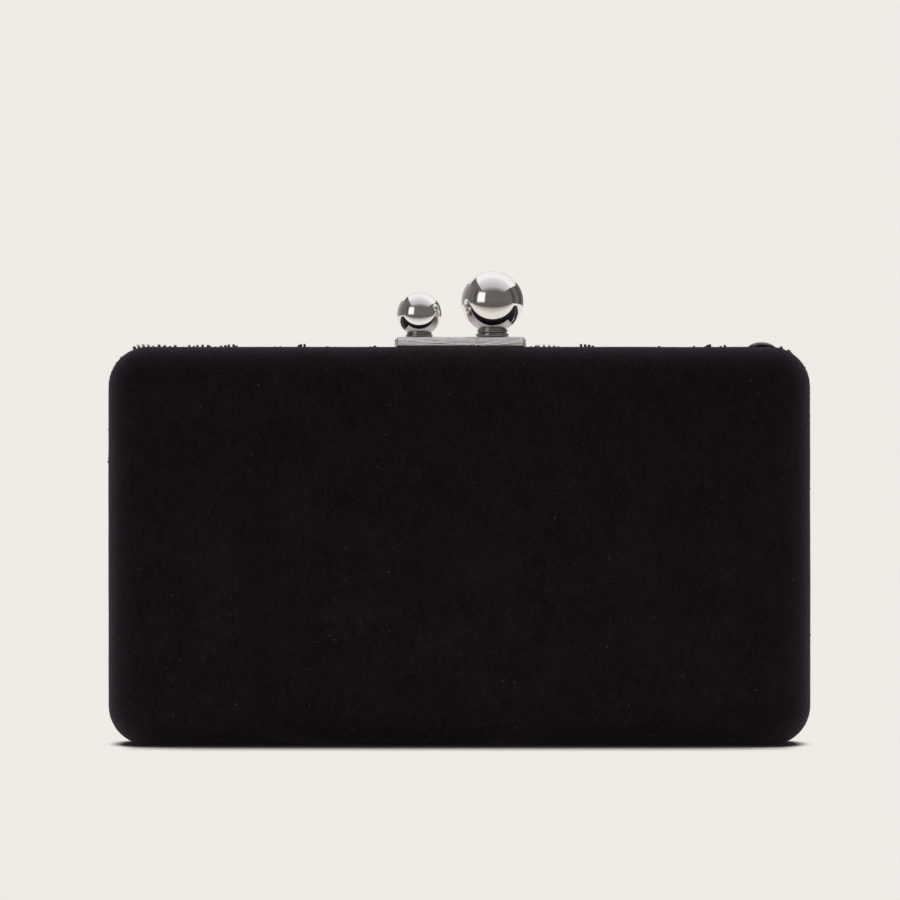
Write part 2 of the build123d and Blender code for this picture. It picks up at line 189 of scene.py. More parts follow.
def suede(name):
    """Black suede: a fine nap brushed in soft patches, with a few specks of lint."""
    sheen = {"sheen_weight": 0.20, "sheen_roughness": 0.50, "sheen_tint": (0.86, 0.74, 0.96)}
    s = Shader(name, specular_ior_level=0.05, **sheen)
    patches = s.noise(70.0, 5.0, 0.6)
    brushed = s.noise(1.0, 4.0, 0.6, s.stretched((700.0, 700.0, 240.0)))
    depth = s.math("ADD", s.math("MULTIPLY", patches, 0.45), s.math("MULTIPLY", brushed, 0.55))
    base = s.ramp(depth, (0.0026, 0.0012, 0.0024), (0.0125, 0.0088, 0.0125), 0.32, 0.72)
    fibres = s.span(s.noise(1900.0, 2.0, 0.6), 0.0, 0.9, 0.56, 0.80)
    base = s.mix(fibres, base, (0.030, 0.024, 0.034))
    cells = s.node("ShaderNodeTexVoronoi", {"Vector": s.place, "Scale": 380.0})
    near = s.math("LESS_THAN", cells.outputs["Distance"], 0.055)
    chosen = s.math("GREATER_THAN", s.noise(160.0, 1.0), 0.55)
    lint = s.math("MULTIPLY", near, chosen)
    s.colour(s.mix(lint, base, (0.13, 0.12, 0.14)))
    s.roughness(s.span(brushed, 0.82, 1.0))
    s.bump(s.noise(2600.0, 3.0, 0.7), 0.75, 0.00025)
    s.bump(brushed, 0.35, 0.00025)
    return s.material


def nap_fibre_painted_sheen(name):
    """The loose ends of the nap, coloured much lighter than the suede under them: a painted sheen for the
    light they catch.
    """
    s = Shader(name, specular_ior_level=0.2, sheen_weight=0.6, sheen_roughness=0.5)
    tone = s.noise(900.0, 1.0)
    # Painted sheen: the fibres run from the suede's black up to a light grey.
    s.colour(s.ramp(tone, (0.006, 0.005, 0.007), (0.16, 0.15, 0.17), 0.45, 0.75))
    s.roughness(s.span(tone, 0.7, 0.95))
    return s.material


def satin(name, dark, light):
    """Satin: a close weave with a soft gloss along the threads."""
    s = Shader(name, specular_ior_level=0.6, sheen_weight=0.25, sheen_roughness=0.3)
    threads = s.wave(900.0, "X", 0.6)
    slubs = s.noise(1.0, 4.0, 0.6, s.stretched((90.0, 90.0, 900.0)))
    tone = s.math("ADD", s.math("MULTIPLY", threads, 0.35), s.math("MULTIPLY", slubs, 0.65))
    s.colour(s.ramp(tone, dark, light, 0.25, 0.75))
    s.roughness(s.span(slubs, 0.30, 0.52))
    s.bump(threads, 0.25, 0.0001)
    s.bump(slubs, 0.3, 0.00015)
    return s.material


def ribbed_tape(name):
    """Grosgrain tape: ribs across its width."""
    s = Shader(name, specular_ior_level=0.3, sheen_weight=0.2, sheen_roughness=0.5)
    ribs = s.wave(260.0, "X")
    flecks = s.noise(2200.0, 2.0)
    s.colour(s.ramp(ribs, (0.010, 0.009, 0.011), (0.034, 0.030, 0.036), 0.2, 0.9))
    s.roughness(s.span(flecks, 0.6, 0.85))
    s.bump(ribs, 0.8, 0.0003)
    s.bump(flecks, 0.2, 0.0001)
    return s.material


def nickel(name, roughness, marks, bright=1.0):
    """Polished nickel with faint polishing marks and a trace of handling. A bright below 1 darkens its
    colour as painted shade.
    """
    s = Shader(name, metallic=1.0)
    film = s.noise(120.0, 5.0, 0.6)
    lines = s.noise(1.0, 3.0, 0.6, s.stretched((500.0, 3500.0, 3500.0)))
    dull = tuple(bright * c for c in (0.84, 0.81, 0.80))
    clean = tuple(bright * c for c in (0.93, 0.91, 0.90))
    s.colour(s.ramp(film, dull, clean, 0.35, 0.7))
    mixed = s.math("ADD", s.math("MULTIPLY", film, 0.5), s.math("MULTIPLY", lines, 0.5))
    s.roughness(s.span(mixed, roughness * 0.5, roughness * 1.6, 0.3, 0.7))
    s.bump(lines, marks, 0.00006)
    return s.material


def cast_nickel(name):
    """Plated casting, drawn along its length, whose small ripples scatter what it reflects."""
    s = Shader(name, metallic=1.0)
    ripples = s.noise(1.0, 3.0, 0.65, s.stretched((420.0, 1900.0, 1900.0)))
    film = s.noise(300.0, 4.0, 0.6)
    s.colour(s.ramp(film, (0.86, 0.82, 0.83), (0.97, 0.94, 0.95), 0.35, 0.7))
    s.roughness(s.span(film, 0.26, 0.42, 0.3, 0.7))
    s.bump(ripples, 1.0, 0.0004)
    return s.material


def steel(name):
    """Plain bright steel, drawn along its length."""
    s = Shader(name, metallic=1.0)
    lines = s.noise(1.0, 4.0, 0.65, s.stretched((300.0, 4200.0, 4200.0)))
    s.colour(s.ramp(lines, (0.42, 0.42, 0.43), (0.62, 0.62, 0.63), 0.3, 0.7))
    s.roughness(s.span(lines, 0.22, 0.42))
    s.bump(lines, 0.3, 0.0001)
    return s.material


def filling(name, dark, light, scale, roughness):
    """Foam, board or moulded shell: a plain body with a grain."""
    s = Shader(name, specular_ior_level=0.3)
    grain = s.noise(scale, 4.0, 0.6)
    s.colour(s.ramp(grain, dark, light, 0.3, 0.7))
    s.roughness(s.span(grain, roughness - 0.08, roughness + 0.08))
    s.bump(grain, 0.4, 0.0003)
    return s.material


def bead_glass(name, dark, light, metallic, roughness):
    """Glossy beads whose tone varies a little from bead to bead."""
    s = Shader(name, metallic=metallic, specular_ior_level=0.7, coat_weight=0.5)
    tone = s.noise(420.0, 1.0)
    s.colour(s.ramp(tone, dark, light, 0.35, 0.65))
    s.roughness(s.span(s.noise(900.0, 2.0), roughness * 0.6, roughness * 1.5, 0.3, 0.7))
    return s.material


def thread(name, shade):
    """Sewing thread: two plies that catch a little light."""
    s = Shader(name, specular_ior_level=0.4, sheen_weight=0.3, sheen_roughness=0.4)
    plies = s.wave(1500.0, "DIAGONAL")
    s.colour(s.ramp(plies, tuple(c * 0.6 for c in shade), tuple(c * 1.4 for c in shade)))
    s.roughness(s.span(plies, 0.5, 0.7))
    s.bump(plies, 0.5, 0.0001)
    return s.material


SUEDE = suede("black_suede")
NAP_PAINTED_SHEEN = nap_fibre_painted_sheen("suede_nap_painted_sheen")
SATIN = satin("charcoal_satin", (0.034, 0.031, 0.036), (0.085, 0.078, 0.086))
TAPE = ribbed_tape("ribbed_tape")
MIRROR = nickel("mirror_nickel", 0.035, 0.02)
SOFT_NICKEL = nickel("satin_nickel", 0.24, 0.2)
CAST_NICKEL = cast_nickel("cast_nickel")
# The collars' nickel is darkened to 0.38 of its colour: painted shade for the hollow under each ball.
NICKEL_PAINTED_SHADE = nickel("nickel_painted_shade", 0.10, 0.1, 0.38)
STEEL = steel("drawn_steel")
FOAM = filling("grey_foam", (0.28, 0.28, 0.29), (0.42, 0.42, 0.43), 900.0, 0.9)
MOULDED = filling("moulded_shell", (0.040, 0.040, 0.044), (0.060, 0.060, 0.066), 1500.0, 0.6)
BOARD = filling("grey_board", (0.26, 0.24, 0.21), (0.36, 0.33, 0.29), 500.0, 0.85)
JET = bead_glass("jet_glass", (0.004, 0.004, 0.005), (0.014, 0.013, 0.016), 0.0, 0.07)
SILVER = bead_glass("silver_lined", (0.62, 0.60, 0.60), (0.88, 0.86, 0.85), 1.0, 0.12)
CHAMPAGNE = bead_glass("champagne", (0.62, 0.50, 0.36), (0.84, 0.74, 0.60), 1.0, 0.14)
GUNMETAL = bead_glass("gunmetal", (0.06, 0.06, 0.07), (0.16, 0.16, 0.18), 1.0, 0.18)
THREAD = thread("black_thread", (0.03, 0.028, 0.03))


# Mesh helpers -----------------------------------------------
class Build:
    """Points in millimetres and faces, collected for one mesh."""

    def __init__(self):
        self.points = []
        self.faces = []

    def add(self, points, faces):
        start = len(self.points)
        self.points.extend(points)
        self.faces.extend([start + i for i in face] for face in faces)
        return start


def linked(name, data):
    """A new object in the scene."""
    made = bpy.data.objects.new(name, data)
    bpy.context.scene.collection.objects.link(made)
    return made


def piece(name, build, material, body, slot, smooth=True, stands_for=()):
    """Makes a mesh piece that rides on a body. A body of None leaves it unattached."""
    mesh = bpy.data.meshes.new(name)
    mesh.from_pydata([Vector(p) * MM for p in build.points], [], build.faces)
    mesh.validate()
    mesh.polygons.foreach_set("use_smooth", [smooth] * len(mesh.polygons))
    mesh.materials.append(material)
    made = linked(name, mesh)
    if body:
        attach(made, body)
    if stands_for:
        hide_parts(*stands_for)
    return made


def thicken(obj, thickness, offset=-1.0):
    """Gives an open sheet its real thickness, in millimetres."""
    made = obj.modifiers.new("thickness", "SOLIDIFY")
    made.thickness = thickness * MM
    made.offset = offset
    made.use_even_offset = True


def ring_faces(first, second, count, closed=True, flip=False):
    """Quads between two rings of points, given where each ring starts."""
    made = []
    for i in range(count if closed else count - 1):
        j = (i + 1) % count
        quad = [first + i, first + j, second + j, second + i]
        made.append(quad[::-1] if flip else quad)
    return made


# The case's soft trays --------------------------------------
def rounded_loop(offset, least_radius):
    """The case's outline drawn in by offset, with CORNER_STEPS points to each half corner."""
    a, b = HALF_LENGTH - offset, HALF_HEIGHT - offset
    r = max(CORNER_RADIUS - offset, least_radius)
    sides = [(270, LONG_STEPS), (0, SHORT_STEPS), (90, LONG_STEPS), (180, SHORT_STEPS)]
    signs = {225: (-1, -1), 315: (1, -1), 45: (1, 1), 135: (-1, 1)}

    def on_corner(corner, angle):
        sx, sz = signs[corner % 360]
        turn = math.radians(angle)
        return sx * (a - r) + r * math.cos(turn), sz * (b - r) + r * math.sin(turn)

    loop = []
    for middle, steps in sides:
        for i in range(CORNER_STEPS):
            loop.append(on_corner(middle - 45, middle - 45 + 45 * i / CORNER_STEPS))
        start, end = on_corner(middle - 45, middle), on_corner(middle + 45, middle)
        for i in range(steps):
            t = i / steps
            loop.append((start[0] + (end[0] - start[0]) * t, start[1] + (end[1] - start[1]) * t))
        for i in range(CORNER_STEPS):
            loop.append(on_corner(middle + 45, middle + 45 * i / CORNER_STEPS))
    return [(x, z + MID_HEIGHT) for x, z in loop]


def fall(x, z, edge, drop):
    """How far the broad face lies below its crown at a point. edge is the face's inset."""
    z -= MID_HEIGHT
    to_side = max(HALF_LENGTH - edge - abs(x), 0.0) / PILLOW_REACH
    to_top = max(HALF_HEIGHT - edge - abs(z), 0.0) / PILLOW_REACH
    soft = math.exp(-to_side) + math.exp(-to_top) - math.exp(-to_side - to_top)
    return (x * x + z * z) / (2 * CROWN_RADIUS) + drop * soft


def face_grid(build, loop, border, depth_at):
    """Fills the loop with an even grid. border is where the loop's points start in the build."""
    wide = LONG_STEPS + 2 * CORNER_STEPS
    tall = SHORT_STEPS + 2 * CORNER_STEPS
    bottom = loop[0 : wide + 1]
    right = loop[wide : wide + tall + 1]
    top = loop[wide + tall : 2 * wide + tall + 1][::-1]
    left = (loop[2 * wide + tall :] + loop[:1])[::-1]
    index = {}
    count = len(loop)
    for i in range(wide + 1):
        index[i, 0] = border + i
        index[i, tall] = border + (2 * wide + tall - i) % count
    for j in range(tall + 1):
        index[wide, j] = border + wide + j
        index[0, j] = border + (count - j) % count
    for i in range(1, wide):
        for j in range(1, tall):
            u, v = i / wide, j / tall
            p = [
                (1 - v) * bottom[i][k]
                + v * top[i][k]
                + (1 - u) * left[j][k]
                + u * right[j][k]
                - (1 - u) * (1 - v) * bottom[0][k]
                - u * (1 - v) * bottom[-1][k]
                - (1 - u) * v * top[0][k]
                - u * v * top[-1][k]
                for k in (0, 1)
            ]
            index[i, j] = build.add([(p[0], depth_at(*p), p[1])], [])
    for i in range(wide):
        for j in range(tall):
            quad = [index[i, j], index[i + 1, j], index[i + 1, j + 1], index[i, j + 1]]
            build.faces.append(quad)


def tray(start, offset, depth, shoulder, drop, side_steps, side):
    """A half's soft tray, which starts at the rim's (offset, y) points. side is -1 for the back half."""
    build = Build()
    edge = offset + shoulder
    least = max(CORNER_RADIUS - edge, 0.4)

    def depth_at(x, z):
        return side * (depth - fall(x, z, edge, drop))

    rim_y = start[-1][1]

    def side_y(x, z, t):
        return side * (rim_y + (abs(depth_at(x, z)) - shoulder - rim_y) * t)

    stations = [(o, lambda x, z, y=y: side * y) for o, y in start]
    for i in range(1, side_steps + 1):
        t = i / side_steps
        stations.append((offset, lambda x, z, t=t: side_y(x, z, t)))
    turns = 10
    for i in range(1, turns + 1):
        turn = math.pi / 2 * i / turns
        inset = offset + shoulder * (1 - math.cos(turn))
        lift = shoulder * (1 - math.sin(turn))
        stations.append((inset, lambda x, z, lift=lift: depth_at(x, z) - side * lift))
    border = loop = None
    for inset, y_at in stations:
        loop = rounded_loop(inset, least)
        start_of_ring = build.add([(x, y_at(x, z), z) for x, z in loop], [])
        if border is not None:
            build.faces += ring_faces(border, start_of_ring, len(loop))
        border = start_of_ring
    face_grid(build, loop, border, depth_at)
    if side > 0:
        build.faces = [face[::-1] for face in build.faces]
    return build


def relax_surface(obj, amount, wavelength, keep_below):
    """Gives a soft tray the slight unevenness of stretched cloth. keep_below is the |y| left alone."""
    for vertex in obj.data.vertices:
        p = vertex.co / MM
        share = min(max((abs(p.y) - keep_below) / 4.0, 0.0), 1.0)
        wave = noise.noise(p / wavelength) + 0.4 * noise.noise(p / (wavelength * 0.37))
        vertex.co += vertex.normal * wave * amount * share * MM


def over_strike_plate(p, margin):
    """Whether a point on the front cover's top edge lies under the strike bar's plate."""
    low_x, high_x = STRIKE_PLATE_X
    inside = low_x - margin < p.x < high_x + margin and 0 < p.y < STRIKE_PLATE_Y + margin
    return inside and p.z > TOP - 1.5


def make_cover(side):
    """The padded suede cover of one half, turned in round the rim."""
    name, body, depth = HALVES[side]
    rim = [(1.15, RIM + 0.05), (0.7, RIM), (0.25, RIM), (0.07, RIM + 0.1), (0.0, RIM + 0.35)]
    build = tray(rim, 0.0, depth, SHOULDER_RADIUS, PILLOW_DROP, 6, side)
    made = piece(name + "_suede_cover", build, SUEDE, body, "black_suede", stands_for=[name + "_cover"])
    relax_surface(made, 0.07, 17.0, 2.0)
    if side > 0:
        for vertex in made.data.vertices:
            if over_strike_plate(vertex.co / MM, 0.0):
                vertex.co.z -= PLATE_PRESS * MM
    return made


def make_lining(side):
    """The satin lining of one half, gathered slightly where it meets the rim."""
    name, body, depth = HALVES[side]
    start = [(LINING_OFFSET + 0.05, 3.0), (LINING_OFFSET, 4.2)]
    shoulder = SHOULDER_RADIUS - LINING_OFFSET
    build = tray(start, LINING_OFFSET, depth - LINING_OFFSET, shoulder, 0.0, 4, side)
    made = piece(name + "_satin_lining", build, SATIN, body, "lining_satin", stands_for=[name + "_lining"])
    for vertex in made.data.vertices:
        p = vertex.co / MM
        along = math.atan2(p.z - MID_HEIGHT, p.x)
        ripple = 0.5 + 0.5 * math.sin(along * 70 + 3 * noise.noise(p / 9.0))
        inward = Vector((-p.x, 0.0, MID_HEIGHT - p.z)).normalized()
        near_rim = math.exp(-((abs(p.y) - 5.6) ** 2) / 5.0) if abs(p.y) > 4.5 else 0.0
        vertex.co += inward * 0.16 * ripple * near_rim * MM
    thicken(made, 0.25, 1.0)


def make_nap(cover, side, count, seed):
    """Short fibres that stand out of the suede round the edges, where the outline shows them."""
    rng = random.Random(seed)
    build = Build()
    mesh = cover.data
    border = 9.0

    def near_edge(p):
        x, y, z = p.center / MM
        at_edge = abs(x) > HALF_LENGTH - border or abs(z - MID_HEIGHT) > HALF_HEIGHT - border
        return at_edge and abs(y) > RIM + 0.3 and z > BEAD_FLOOR

    polygons = [p for p in mesh.polygons if near_edge(p)]
    weights = [p.area for p in polygons]
    for p in rng.choices(polygons, weights, k=count):
        corners = [mesh.vertices[i].co / MM for i in p.vertices]
        u, v = rng.random(), rng.random()
        foot = corners[0].lerp(corners[1], u).lerp(corners[3].lerp(corners[2], u), v)
        lean = Vector([rng.uniform(-1, 1) for _ in range(3)])
        direction = (p.normal + 0.75 * lean).normalized()
        if direction.dot(p.normal) < 0.25:
            continue
        across = direction.orthogonal().normalized()
        other = direction.cross(across)
        width = rng.uniform(0.025, 0.05)
        base = foot - p.normal * 0.05
        turns = [math.radians(120 * k) for k in range(3)]
        ring = [base + (across * math.cos(t) + other * math.sin(t)) * width for t in turns]
        tip = base + direction * rng.uniform(0.18, 0.42)
        build.add([*ring, tip], [(0, 1, 3), (1, 2, 3), (2, 0, 3), (2, 1, 0)])
    name, body, _ = HALVES[side]
    # The fibres' light colour is a painted sheen.
    piece(name + "_nap", build, NAP_PAINTED_SHEEN, body, "black_suede", smooth=False)


# Inside -----------------------------------------------------
def pocket_bow(u):
    """How the pocket's open edge bows out, from 0 at its ends to 1 at its middle."""
    return math.sin(math.pi * u) ** 0.7


def make_pocket():
    """The slip pocket: a satin panel that bows out at its open edge, its tape and its stitches."""
    low, high = cad_box("pocket_panel")
    top = cad_box("pocket_binding")[1].z
    front_y = high.y
    wide, tall = 58, 30
    build = Build()
    for j in range(tall + 1):
        for i in range(wide + 1):
            u, v = i / wide, j / tall
            x = low.x + (high.x - low.x) * u
            z = low.z + (top - 2.0 - low.z) * v
            y = front_y - 0.25 + 0.55 * pocket_bow(u) * v * v + 0.10 * noise.noise(Vector((x, 0, z)) / 11.0)
            build.points.append((x, y, z))
    count = wide + 1
    for j in range(tall):
        build.faces += ring_faces(j * count, (j + 1) * count, count, closed=False, flip=True)
    panel = piece("pocket_satin", build, SATIN, "back_half", "lining_satin", stands_for=["pocket_panel"])
    thicken(panel, 0.35, 0.0)
    make_tape(low.x, high.x, top, front_y)
    make_stitches(low, high, front_y)


def make_tape(low_x, high_x, top, front_y):
    """The folded tape over the pocket's open edge."""
    build = Build()
    steps = 60
    section = [(0.35, 0.0), (0.42, 3.7), (0.28, 3.95), (0.0, 4.05), (-0.28, 3.95), (-0.42, 3.7)]
    section.append((-0.35, 0.0))
    for i in range(steps + 1):
        u = i / steps
        x = low_x + (high_x - low_x) * u
        middle = front_y - 0.25 + 0.50 * pocket_bow(u)
        build.points.extend((x, middle + y, top - 4.0 + z) for y, z in section)
    count = len(section)
    for i in range(steps):
        build.faces += ring_faces(i * count, (i + 1) * count, count)
    build.faces.append(list(range(count))[::-1])
    build.faces.append([steps * count + k for k in range(count)])
    piece("pocket_tape", build, TAPE, "back_half", "binding_tape", stands_for=["pocket_binding"])


def stitch(build, start, end, radius):
    """One stitch: a short rounded thread from start to end, bowed towards +Y."""
    start, end, out = Vector(start), Vector(end), Vector((0, 1, 0))
    along = (end - start).normalized()
    side = along.cross(out).normalized()
    rings, sides = 6, 6
    first = len(build.points)
    for i in range(rings + 1):
        t = i / rings
        centre = start.lerp(end, t) + out * (radius * 1.3 * math.sin(math.pi * t) - radius * 0.4)
        size = radius * (0.35 + 0.65 * math.sin(math.pi * min(max(t, 0.08), 0.92)) ** 0.5)
        for k in range(sides):
            turn = math.tau * k / sides
            build.points.append(centre + (side * math.cos(turn) + out * math.sin(turn)) * size)
    for i in range(rings):
        build.faces += ring_faces(first + i * sides, first + (i + 1) * sides, sides)
    build.faces.append([first + k for k in range(sides)][::-1])
    build.faces.append([first + rings * sides + k for k in range(sides)])


def make_stitches(low, high, front_y):
    """Two sewn sides and a sewn foot on the pocket, and a row along its tape."""
    build = Build()
    inset, pitch, length = 1.6, 2.6, 1.7
    y = front_y - 0.02
    x = low.x + inset
    while x < high.x - inset - length:
        tape_y = front_y + 0.16 + 0.50 * pocket_bow((x - low.x) / (high.x - low.x))
        for row_y, row_z, size in ((y, low.z + inset, 0.13), (tape_y, high.z + 0.9, 0.12)):
            stitch(build, (x, row_y, row_z), (x + length, row_y, row_z), size)
        x += pitch
    z = low.z + inset
    while z < high.z - 1:
        for side_x in (low.x + inset, high.x - inset):
            stitch(build, (side_x, y, z), (side_x, y, z + length), 0.13)
        z += pitch
    piece("pocket_stitches", build, THREAD, "back_half", "binding_tape")


def make_gusset(side):
    """A satin web folded inwards at one end of the case, sewn to both rims."""
    name = "left_gusset" if side < 0 else "right_gusset"
    low, high = cad_box(name)
    outer = max(abs(low.x), abs(high.x))
    deepest = outer - min(abs(low.x), abs(high.x))
    shallow = deepest * 0.27
    gap = high.y - 0.25
    levels, half_steps = 26, 12
    build = Build()
    for j in range(levels + 1):
        v = j / levels
        z = low.z + (high.z - low.z) * v
        fold = shallow + (deepest - shallow) * v
        for i in range(-half_steps, half_steps + 1):
            t = abs(i) / half_steps
            bend = 1 - math.cos(math.pi / 2 * min(t * 1.6, 1.0))
            x = outer - fold * (1 - t) - 0.25
            y = math.copysign(gap * (0.12 * bend + 0.88 * t), i) if i else 0.0
            x += 0.25 * noise.noise(Vector((x, y * 3, z)) / 8.0) * (1 - t) * 4 * t
            build.points.append((side * x, y, z))
    count = 2 * half_steps + 1
    for j in range(levels):
        build.faces += ring_faces(j * count, (j + 1) * count, count, closed=False, flip=side < 0)
    made = piece(name + "_satin", build, SATIN, None, "lining_satin", stands_for=[name])
    thicken(made, 0.3, 0.0)
    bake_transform(made)


# Clasp ------------------------------------------------------
def lathe(profile, centre_x, centre_y, steps):
    """A closed turned shape from (radius, z) points that start and end on the axis."""
    build = Build()
    inner = profile[1:-1]
    first = build.add([(centre_x, centre_y, profile[0][1])], [])
    for i in range(steps):
        turn = math.tau * i / steps
        for radius, z in inner:
            x = centre_x + radius * math.cos(turn)
            build.points.append((x, centre_y + radius * math.sin(turn), z))
    last = build.add([(centre_x, centre_y, profile[-1][1])], [])
    count = len(inner)
    for i in range(steps):
        a, b = 1 + i * count, 1 + (i + 1) % steps * count
        build.faces.append([first, b, a])
        for k in range(count - 1):
            build.faces.append([a + k, b + k, b + k + 1, a + k + 1])
        build.faces.append([a + count - 1, b + count - 1, last])
    return build


def make_ball(size, body):
    """A polished ball, with the two-ringed collar that it sits in."""
    low, high = cad_box(size + "_ball")
    centre = (low + high) / 2
    radius = (high.x - low.x) / 2
    centre_z = high.z - radius
    rings = 56
    turns = [math.pi * k / rings for k in range(rings + 1)]
    profile = [(radius * math.sin(t), centre_z - radius * math.cos(t)) for t in turns]
    ball = lathe(profile, centre.x, centre.y, 96)
    piece(size + "_ball_polished", ball, MIRROR, body, "polished_nickel", stands_for=[size + "_ball"])
    low, high = cad_box(size + "_ball_collar")
    foot = (high.x - low.x) / 2
    tall = high.z - low.z
    roll = tall * 0.25
    profile = [(0.0, low.z), (foot * 0.8, low.z)]
    for reach, middle in ((foot, low.z + roll), (foot * 0.93, low.z + 2.95 * roll)):
        for k in range(-8, 9):
            turn = math.radians(10 * k)
            profile.append((reach - roll + roll * math.cos(turn), middle + roll * math.sin(turn)))
    profile += [(foot * 0.7, high.z), (0.0, high.z - 0.3 * tall)]
    collar = lathe(profile, centre.x, centre.y, 72)
    replaced = [size + "_ball_collar"]
    # Painted shade: the collar gets the darkened nickel, standing in for the shade under the ball.
    piece(size + "_collar_turned", collar, NICKEL_PAINTED_SHADE, body, "polished_nickel", stands_for=replaced)


def own_copy(node):
    """A CAD node's shape as points in millimetres and faces, its split edges joined again."""
    work = bmesh.new()
    work.from_mesh(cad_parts[node].data)
    bmesh.ops.remove_doubles(work, verts=work.verts, dist=1e-6)
    work.verts.index_update()
    build = Build()
    build.add([v.co / MM for v in work.verts], [[v.index for v in f.verts] for f in work.faces])
    work.free()
    return build


def make_cap():
    """The cap, its outer wall leaning in slightly towards its foot."""
    low, high = cad_box("clasp_cap")
    build = own_copy("clasp_cap")
    shoulder = high.z - CAP_EDGE
    for p in build.points:
        if p.y < low.y + CAP_WALL + 0.1:
            share = min(max((shoulder - p.z) / (shoulder - low.z), 0.0), 1.0)
            p.y += CAP_LEAN * share
    replaced = ["clasp_cap"]
    made = piece("clasp_cap_cast", build, CAST_NICKEL, "back_half", "polished_nickel", stands_for=replaced)
    made.data.set_sharp_from_angle(angle=math.radians(35))
    return made


def make_spring():
    """The latch spring, which on the real clasp shortens against its post as the small ball is pinched;
    here it stays rigid on the back half.
    """
    wire = own_copy("latch_spring")
    flat = {"smooth": False, "stands_for": ["latch_spring"]}
    made = piece("latch_spring_steel", wire, STEEL, "back_half", "latch_steel", **flat)
    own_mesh(made)


def dress_cad_nodes():
    """Gives every CAD node that stays its own material."""
    dressed = (
        (FOAM, ("back_padding", "front_padding")),
        (MOULDED, ("back_shell", "front_shell")),
        (BOARD, ("back_lining_card", "front_lining_card")),
        (SOFT_NICKEL, ("back_frame", "front_frame")),
        (CAST_NICKEL, ("strike_bar",)),
        (STEEL, ("hinge_pin", "clasp_base_plate", "clasp_rivets", "strike_rivets")),
        (STEEL, ("large_ball_stud", "small_ball_stud", "latch_slider")),
    )
    for material, names in dressed:
        for name in names:
            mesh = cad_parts[name].data
            mesh.materials.clear()
            mesh.materials.append(material)


# Beading ----------------------------------------------------
def spun_about_x(section, sides, start=0.0):
    """A closed ring of (x, radius) points turned about X, as points and faces."""
    points, faces = [], []
    count = len(section)
    for i in range(sides):
        turn = math.tau * (i + start) / sides
        points += [Vector((x, r * math.cos(turn), r * math.sin(turn))) for x, r in section]
        faces += ring_faces(i * count, (i + 1) % sides * count, count)
    return points, faces


def level_ring(radius, z, sides, start=0.0, squeeze=1.0):
    """A level ring of points about Z. squeeze makes it oval."""
    turns = [math.tau * (i + start) / sides for i in range(sides)]
    return [Vector((radius * math.cos(t), squeeze * radius * math.sin(t), z)) for t in turns]


def seed_bead(radius):
    """A small ring bead with its hole along X."""
    rolls = [math.radians(60 * k) for k in range(6)]
    section = [(radius * 0.62 * math.sin(r), radius * (0.66 + 0.34 * math.cos(r))) for r in rolls]
    return spun_about_x(section, 9)


def bugle_bead(radius, length):
    """A six-sided tube bead along X, slightly rounded at its ends."""
    half = [(0.5, 0.45), (0.5, 0.82), (0.46, 1.0)]
    section = [(-x, r) for x, r in half] + half[::-1]
    return spun_about_x([(x * length, r * radius) for x, r in section], 6, 0.5)


def cut_stone(radius, sides):
    """A faceted stone, its table towards +Z and turned by half a facet."""
    points, faces = [], []
    levels = [(0.55, -0.45, 0.0), (1.0, -0.05, 0.0), (0.96, 0.08, 0.0), (0.55, 0.46, 0.5)]
    for r, z, start in levels:
        points += level_ring(radius * r, radius * z, sides, start)
    for level in range(len(levels) - 1):
        faces += ring_faces(level * sides, (level + 1) * sides, sides)
    faces.append(list(range(sides))[::-1])
    faces.append([3 * sides + i for i in range(sides)])
    return points, faces


def sequin(radius):
    """A thin cupped disc with a hole in the middle."""
    points, faces = [], []
    sides = 14
    levels = [(0.16, 0.0), (0.6, 0.02), (1.0, 0.16), (1.0, 0.20), (0.6, 0.07), (0.16, 0.05)]
    for level, (r, z) in enumerate(levels):
        points += level_ring(radius * r, radius * z, sides)
        faces += ring_faces(level * sides, (level + 1) % len(levels) * sides, sides, flip=True)
    return points, faces


def dome(radius):
    """A smooth oval cabochon that lies flat, its dome towards +Z."""
    points, faces = [], []
    sides, rings = 18, 6
    for k in range(rings):
        roll = math.pi / 2 * k / rings
        points += level_ring(radius * math.cos(roll), radius * 0.5 * math.sin(roll), sides, squeeze=0.72)
    for k in range(rings - 1):
        faces += ring_faces(k * sides, (k + 1) * sides, sides)
    points.append(Vector((0.0, 0.0, radius * 0.5)))
    top = len(points) - 1
    last = top - sides
    faces += [[last + i, last + (i + 1) % sides, top] for i in range(sides)]
    faces.append(list(range(sides))[::-1])
    return points, faces


